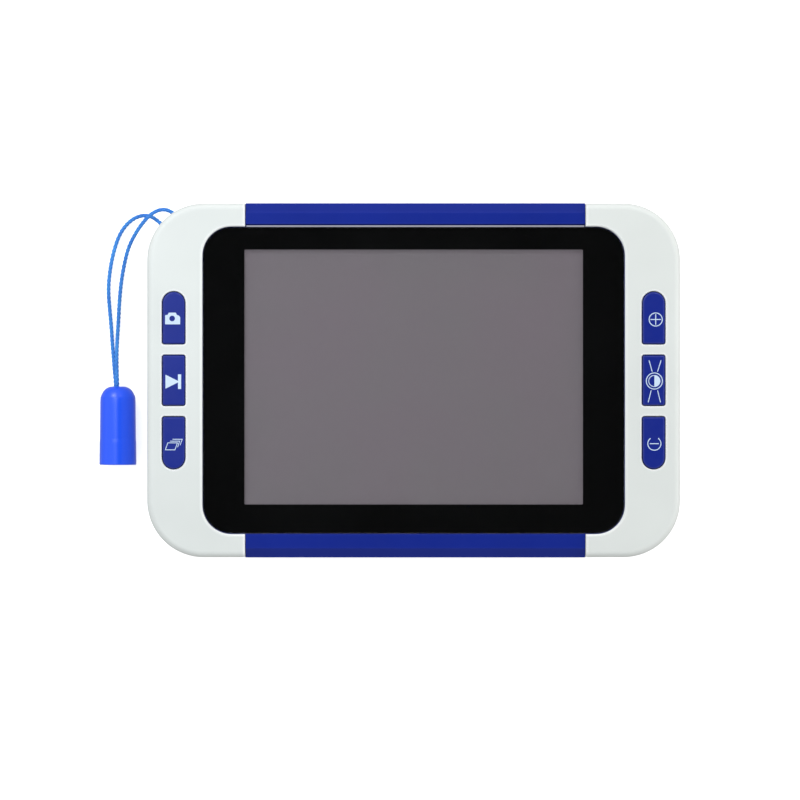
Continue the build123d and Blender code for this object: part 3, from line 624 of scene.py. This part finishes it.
# %% Hairlines
hairlines, asked, given = new_group(
    "hairlines", {"Spacing": 0.5, "Length": 30.0}, {"Height": "Float", "Mask": "Float"})
place = in_millimetres(hairlines)
ways = []
for turn in (0.4, 1.7):
    turned = put(hairlines, "ShaderNodeVectorRotate", {"Vector": place, "Angle": turn},
                 rotation_type="Z_AXIS").outputs["Vector"]
    parts = put(hairlines, "ShaderNodeSeparateXYZ", {"Vector": turned}).outputs
    drawn_out = put(hairlines, "ShaderNodeCombineXYZ",
                    {"X": calculate(hairlines, "DIVIDE", parts["X"], asked["Length"]),
                     "Y": parts["Y"], "Z": parts["Z"]}).outputs["Vector"]
    ways.append(cloud(hairlines, drawn_out, asked["Spacing"], 3.0, 0.7))
deepest = calculate(hairlines, "MAXIMUM", ways[0], ways[1])
hairlines.links.new(deepest, given["Height"])
hairlines.links.new(remap(hairlines, deepest, 0.62, 0.72), given["Mask"])
print("group", hairlines.name)

# %% Dust
dust, asked, given = new_group("dust", {"Spacing": 4.0, "Speck": 0.06}, {"Mask": "Float"})
cells = put(dust, "ShaderNodeTexVoronoi",
            {"Vector": in_millimetres(dust),
             "Scale": calculate(dust, "DIVIDE", 1.0, asked["Spacing"])})
width = calculate(dust, "DIVIDE", asked["Speck"], asked["Spacing"])
speck = calculate(dust, "LESS_THAN", cells.outputs["Distance"], width)
upward = put(dust, "ShaderNodeSeparateXYZ",
             {"Vector": put(dust, "ShaderNodeNewGeometry").outputs["Normal"]}).outputs["Z"]
dust.links.new(calculate(dust, "MULTIPLY", speck, upward, clamp=True), given["Mask"])
print("group", dust.name)

# %% [markdown]
# ## Moulded plastic and rubber
# The housing, the keys, the bell and most small parts are injection moulded. The mould's
# spark-eroded skin gives a fine grain, the gloss varies in patches, and the edges are polished
# by hands, so they gloss more. Their colour is made lighter as well: a painted highlight.
# One function builds all of these, because only their colours and sizes differ.

# %% Build moulded finishes
def place_group(tree, group, **values):
    return put(tree, "ShaderNodeGroup", values, node_tree=group).outputs


def mix_colours(tree, share, first, second):
    """The second colour over the first, where the share is 1."""
    feeds = {0: share}
    for index, colour in ((6, first), (7, second)):
        feeds[index] = colour if isinstance(colour, bpy.types.NodeSocket) else (*colour, 1)
    return put(tree, "ShaderNodeMix", feeds, data_type="RGBA").outputs[2]


def scaled(colour, factor):
    return tuple(min(channel * factor, 1.0) for channel in colour)


def raise_skin(tree, shader, height, strength, distance, **normal):
    """Bump the shader's normal with a height, whose full rise is given in millimetres."""
    raised = put(tree, "ShaderNodeBump", {"Height": height, "Strength": strength,
                                          "Distance": distance * mm, **normal})
    tree.links.new(raised.outputs["Normal"], shader.inputs["Normal"])


def moulded(name, colour, roughness, size=0.3, depth=0.004, drift=0.06, band=0.3, rim=None,
            worn=0.5, patches=0.05, **sockets):
    """Moulded plastic or rubber: grain, drifting colour, rounded edges with more gloss and a
    painted highlight, dust.
    """
    material, tree, shader = start_finish(name, **sockets)
    skin = place_group(tree, grain, Grain=size, Drift=25.0)
    rims = place_group(tree, edges, Band=band, Round=min(band, 0.15))
    marks = place_group(tree, hairlines, Spacing=0.35, Length=25.0)
    specks = place_group(tree, dust, Spacing=5.0, Speck=0.05)
    body = mix_colours(tree, skin["Drift"], scaled(colour, 1 - drift), scaled(colour, 1 + drift))
    # The edges gloss more, and a painted highlight makes their colour lighter; both grow with the
    # edge mask.
    rim_share = calculate(tree, "MULTIPLY", rims["Mask"], worn)
    body = mix_colours(tree, rim_share, body, rim or scaled(colour, 1.3))
    dusty = calculate(tree, "MULTIPLY", specks["Mask"], 0.25)
    tree.links.new(mix_colours(tree, dusty, body, (0.6, 0.6, 0.58)), shader.inputs["Base Color"])
    gloss = calculate(tree, "MULTIPLY_ADD", skin["Gloss"], patches, roughness)
    gloss = calculate(tree, "MULTIPLY_ADD", marks["Mask"], 0.05, gloss)
    gloss = calculate(tree, "MULTIPLY_ADD", rim_share, -0.3 * roughness, gloss, clamp=True)
    tree.links.new(gloss, shader.inputs["Roughness"])
    raise_skin(tree, shader, skin["Height"], 1.0, depth, Normal=rims["Normal"])
    return material


# In each look, the edge colour is the colour of a painted highlight along the edges, and the
# number beside it sets how strong that highlight and the edges' extra gloss are.
moulded_looks = {
    "white_shell": dict(colour=(0.685, 0.715, 0.69), roughness=0.42, size=0.32, depth=0.003,
                        drift=0.025, band=1.0, rim=(0.95, 0.96, 0.95), worn=1.0,
                        Specular_IOR_Level=0.3),
    "blue_shell": dict(colour=(0.007, 0.020, 0.232), roughness=0.38, size=0.32, depth=0.003,
                       drift=0.05, band=0.9, rim=(0.03, 0.05, 0.36), worn=0.3,
                       Specular_IOR_Level=0.12),
    "key_plastic": dict(colour=(0.0035, 0.0155, 0.225), roughness=0.38, size=0.25, depth=0.003,
                        drift=0.05, band=0.25, rim=(0.05, 0.08, 0.42),
                        Specular_IOR_Level=0.40),
    "bell_plastic": dict(colour=(0.008, 0.095, 0.98), roughness=0.32, size=0.9, drift=0.02,
                         worn=0.2, patches=0.02, Specular_IOR_Level=0.15, Coat_Weight=0.9,
                         Coat_Roughness=0.30),
    "black_plastic": dict(colour=(0.012, 0.012, 0.013), roughness=0.45, size=0.25, drift=0.1),
    "seal_grey": dict(colour=(0.30, 0.30, 0.36), roughness=0.55, size=0.2, depth=0.005,
                      drift=0.05),
    "foam_black": dict(colour=(0.018, 0.018, 0.018), roughness=0.95, size=0.45, depth=0.12,
                       drift=0.2, worn=0.1),
    "foot_rubber": dict(colour=(0.028, 0.028, 0.032), roughness=0.75, size=0.18, depth=0.012,
                        drift=0.12, worn=0.8),
    "chip_resin": dict(colour=(0.014, 0.014, 0.016), roughness=0.6, size=0.12, depth=0.006,
                       drift=0.1),
    "battery_wrap": dict(colour=(0.06, 0.08, 0.11), roughness=0.3, size=2.5, depth=0.05,
                         drift=0.08, Coat_Weight=0.3),
    "lamp_resin": dict(colour=(0.85, 0.74, 0.25), roughness=0.25, size=0.08, depth=0.01,
                       drift=0.1, rim=(0.9, 0.9, 0.85), worn=0.9, Coat_Weight=1.0),
}
finishes = {name: moulded(name, **look) for name, look in moulded_looks.items()}
sign_ink = moulded("sign_ink", (0.58, 0.71, 0.86), roughness=0.5, size=0.15, depth=0.002,
                   drift=0.05, band=0.05)
border_ink = moulded("border_ink", (0.0024, 0.0025, 0.0026), roughness=0.6, size=0.1,
                     depth=0.001, drift=0.2, band=0.05, Specular_IOR_Level=0.0)
print("moulded:", sorted(finishes))

# %% [markdown]
# ## Metal
# The screws are zinc plated, the screen's tray and the shields are pressed from tinned or plain
# steel sheet, and the battery contacts are plated brass.
# A mirror with one roughness looks like chrome. Rolling and pressing leave fine lines that
# blur the gloss one way, so the hairlines set both the roughness and a very small height.

# %% Build metal finishes
def metal(name, colour, roughness, spacing, length, tarnish):
    material, tree, shader = start_finish(name, Metallic=1.0)
    skin = place_group(tree, grain, Grain=0.12, Drift=4.0)
    rims = place_group(tree, edges, Band=0.2, Round=0.08)
    rolled = place_group(tree, hairlines, Spacing=spacing, Length=length)
    body = mix_colours(tree, skin["Drift"], scaled(colour, 1 - tarnish), colour)
    # A painted highlight: the colour is lighter along the edges.
    rim_share = calculate(tree, "MULTIPLY", rims["Mask"], 0.5)
    body = mix_colours(tree, rim_share, body, scaled(colour, 1.2))
    tree.links.new(body, shader.inputs["Base Color"])
    gloss = calculate(tree, "MULTIPLY_ADD", rolled["Height"], 0.3, roughness - 0.15)
    gloss = calculate(tree, "MULTIPLY_ADD", skin["Gloss"], 0.06, gloss, clamp=True)
    tree.links.new(gloss, shader.inputs["Roughness"])
    raise_skin(tree, shader, rolled["Height"], 0.6, 0.004, Normal=rims["Normal"])
    return material


metal_looks = {
    "screw_steel": dict(colour=(0.56, 0.56, 0.57), roughness=0.32, spacing=0.06, length=4.0,
                        tarnish=0.15),
    "tray_steel": dict(colour=(0.60, 0.60, 0.60), roughness=0.38, spacing=0.10, length=40.0,
                       tarnish=0.10),
    "tin_can": dict(colour=(0.66, 0.65, 0.63), roughness=0.30, spacing=0.15, length=12.0,
                    tarnish=0.12),
    "contact_brass": dict(colour=(0.82, 0.62, 0.27), roughness=0.28, spacing=0.08, length=10.0,
                          tarnish=0.2),
}
for name, look in metal_looks.items():
    finishes[name] = metal(name, **look)
print("metal:", sorted(metal_looks))

# %% [markdown]
# ## Glass, lens and screen film
# The cover glass and the camera's small window are clear and polished, with faint smears and
# a few hairlines. The screen below is a grey polarising film with a satin, blotchy gloss.
# The screen is on and shows an even grey, so the film also gives off a little light of its own.
# The glow is also painted light: it evens out the film's shading and lifts the border's shadow on
# it.
# Real glass casts almost no shadow on what lies close under it, but a path tracer would have
# to find the lamps through two refractions. So shadow rays pass straight through.

# %% Build the glass
def clear(name, tint, roughness):
    """Clear glass with smears and hairlines, which lets shadow rays straight through."""
    material, tree, shader = start_finish(name, Transmission_Weight=1.0, IOR=1.5,
                                          Base_Color=(*tint, 1))
    smears = place_group(tree, grain, Grain=3.0, Drift=40.0)
    marks = place_group(tree, hairlines, Spacing=0.4, Length=60.0)
    gloss = calculate(tree, "MULTIPLY_ADD", smears["Gloss"], 0.012, roughness)
    gloss = calculate(tree, "MULTIPLY_ADD", marks["Mask"], 0.03, gloss, clamp=True)
    tree.links.new(gloss, shader.inputs["Roughness"])
    see_through_where(tree, shader, put(tree, "ShaderNodeLightPath").outputs["Is Shadow Ray"])
    return material


finishes["clear_glass"] = clear("clear_glass", (0.97, 0.985, 0.98), 0.03)
print("glass:", finishes["clear_glass"].name)


# %% Build the screen's film
def film(name, colour, other, roughness, blotch, **sockets):
    """A satin film whose colour wanders between two tones."""
    material, tree, shader = start_finish(name, **sockets)
    skin = place_group(tree, grain, Grain=0.06, Drift=blotch)
    rims = place_group(tree, edges, Band=0.3, Round=0.1)
    body = mix_colours(tree, skin["Drift"], colour, other)
    # The colour is darker towards the film's edges.
    rim_share = calculate(tree, "MULTIPLY", rims["Mask"], 0.4)
    body = mix_colours(tree, rim_share, body, scaled(colour, 0.6))
    tree.links.new(body, shader.inputs["Base Color"])
    gloss = calculate(tree, "MULTIPLY_ADD", skin["Gloss"], 0.05, roughness)
    tree.links.new(gloss, shader.inputs["Roughness"])
    raise_skin(tree, shader, skin["Height"], 0.5, 0.002, Normal=rims["Normal"])
    return material


# The film's glow is partly painted light, which evens out its shading and the border's shadow.
finishes["panel_film"] = film(
    "panel_film", (0.070, 0.058, 0.066), (0.066, 0.061, 0.064), roughness=0.55, blotch=30.0,
    Specular_IOR_Level=0.15, Emission_Color=(0.097, 0.084, 0.095, 1), Emission_Strength=1.0)
finishes["flex_film"] = film(
    "flex_film", (0.42, 0.17, 0.02), (0.50, 0.24, 0.04), roughness=0.28, blotch=3.0,
    Coat_Weight=0.5)
print("films:", finishes["panel_film"].name, finishes["flex_film"].name)

# %% Build the coated lens
lens_low, lens_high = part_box("camera_lens")
lens_middle = (lens_low + lens_high) / 2
glass_share, edge_blur = 0.55, 0.03
glass_radius = glass_share * (lens_high.x - lens_low.x) / 2

material, tree, shader = start_finish("lens_glass", Coat_Weight=1.0, Coat_Roughness=0.03,
                                      Coat_Tint=(0.75, 0.6, 1.0, 1))
skin = place_group(tree, grain, Grain=0.2, Drift=3.0)
rims = place_group(tree, edges, Band=0.2, Round=0.08)
from_axis = put(tree, "ShaderNodeVectorMath",
                {0: put(tree, "ShaderNodeTexCoord").outputs["Object"],
                 1: (lens_middle.x, lens_middle.y, 0)}, operation="SUBTRACT").outputs["Vector"]
flattened = put(tree, "ShaderNodeVectorMath", {0: from_axis, 1: (1, 1, 0)}, operation="MULTIPLY")
radius = put(tree, "ShaderNodeVectorMath", {0: flattened.outputs["Vector"]},
             operation="LENGTH").outputs["Value"]
barrel = remap(tree, radius, glass_radius * (1 - edge_blur), glass_radius * (1 + edge_blur))
body = mix_colours(tree, skin["Drift"], (0.012, 0.008, 0.05), (0.02, 0.03, 0.06))
body = mix_colours(tree, barrel, body, (0.015, 0.015, 0.016))
tree.links.new(body, shader.inputs["Base Color"])
tree.links.new(remap(tree, barrel, 0.0, 1.0, 0.05, 0.5), shader.inputs["Roughness"])
tree.links.new(rims["Normal"], shader.inputs["Normal"])
finishes["lens_glass"] = material
print("lens glass radius", round(glass_radius / mm, 2), "mm")

# %% [markdown]
# ## Circuit boards
# The boards are green glass laminate: a woven cloth shows faintly under a glossy solder mask,
# with paler copper tracks below it.
# Drawn tracks would be more work than a closed housing shows, so two crossed waves give the
# cloth, and thin steps cut from a noise give the tracks.

# %% Build the laminate
material, tree, shader = start_finish("board_laminate", Coat_Weight=0.5, Coat_Roughness=0.2)
place = in_millimetres(tree)
threads = [put(tree, "ShaderNodeTexWave", {"Vector": place, "Scale": 0.7, "Distortion": 0.6},
               bands_direction=way).outputs["Fac"] for way in "XY"]
cloth = calculate(tree, "MAXIMUM", *threads)
blocks = put(tree, "ShaderNodeTexVoronoi", {"Vector": place, "Scale": 0.35},
             distance="MANHATTAN").outputs["Distance"]
tracks = remap(tree, calculate(tree, "PINGPONG", blocks, 0.12), 0.07, 0.075)
body = mix_colours(tree, cloth, (0.008, 0.10, 0.035), (0.012, 0.13, 0.045))
body = mix_colours(tree, calculate(tree, "MULTIPLY", tracks, 0.6), body, (0.03, 0.22, 0.06))
tree.links.new(body, shader.inputs["Base Color"])
tree.links.new(remap(tree, cloth, 0.0, 1.0, 0.3, 0.42), shader.inputs["Roughness"])
raise_skin(tree, shader, calculate(tree, "ADD", cloth, tracks), 0.5, 0.01)
finishes["board_laminate"] = material
print("laminate:", material.name)

# %% [markdown]
# ## Braided cord
# The lanyard is dyed polyester braid. Its yarns are modelled, so the finish only adds the
# filaments in each yarn, a soft sheen and fine streaks of paler blue along the filaments.
# Long filaments would need a direction along each yarn. At a tenth of a millimetre, a fine
# stretched noise is enough.

# %% Build the cord's finish
material, tree, shader = start_finish("cord_textile", Sheen_Weight=0.5, Sheen_Roughness=0.4,
                                      Sheen_Tint=(0.45, 0.75, 1.0, 1))
fibres = place_group(tree, hairlines, Spacing=0.05, Length=6.0)
skin = place_group(tree, grain, Grain=0.08, Drift=6.0)
body = mix_colours(tree, skin["Drift"], (0.035, 0.21, 0.70), (0.06, 0.33, 0.84))
# Fine streaks of paler blue follow a stretched noise.
pale_streaks = calculate(tree, "MULTIPLY", fibres["Mask"], 0.5)
body = mix_colours(tree, pale_streaks, body, (0.16, 0.42, 0.88))
tree.links.new(body, shader.inputs["Base Color"])
tree.links.new(remap(tree, fibres["Height"], 0.3, 0.7, 0.55, 0.75), shader.inputs["Roughness"])
raise_skin(tree, shader, fibres["Height"], 0.8, 0.02)
finishes["cord_textile"] = material
print("cord:", material.name)

# %% [markdown]
# ## Give every part its finish
# The frame's record names a slot for every part, so a loop can hand the finishes out. That is
# surer than naming the fifty-four parts again, and a part can't be left out.

# %% Hand out the finishes
for part in frame["record"]["subparts"]:
    node = frame["nodes"][part["node"]]
    node.data.materials.clear()
    node.data.materials.append(finishes[part["material_slot"]])
for piece in (*strands.values(), tied_knot):
    piece.data.materials.append(finishes["cord_textile"])
printed_border.data.materials.append(border_ink)
for sign in signs:
    sign.data.materials.append(sign_ink)
